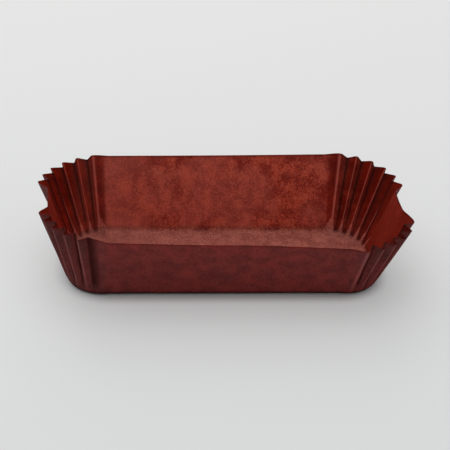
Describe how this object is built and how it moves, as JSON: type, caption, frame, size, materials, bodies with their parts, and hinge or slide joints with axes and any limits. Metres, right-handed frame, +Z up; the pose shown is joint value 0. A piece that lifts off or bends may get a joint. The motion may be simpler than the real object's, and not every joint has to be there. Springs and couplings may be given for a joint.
{
  "type": "rectangular paper baking mold",
  "caption": "Rectangular greaseproof paper baking mold, a thin pressed tray with a flat base, sloping plain walls and a fan of folds at each corner.",
  "frame": {"origin": "middle of the flat underside, on the plane that the mold rests on", "axes": "+X along the long side towards the wider open end, +Y across the mold, +Z up out of its mouth"},
  "size_m": [0.1208, 0.0595, 0.0253],
  "materials": {
    "paper": "dull satin, dark red-brown"
  },
  "bodies": {
    "root": {"paper_mold": "paper"}
  },
  "joints": []
}
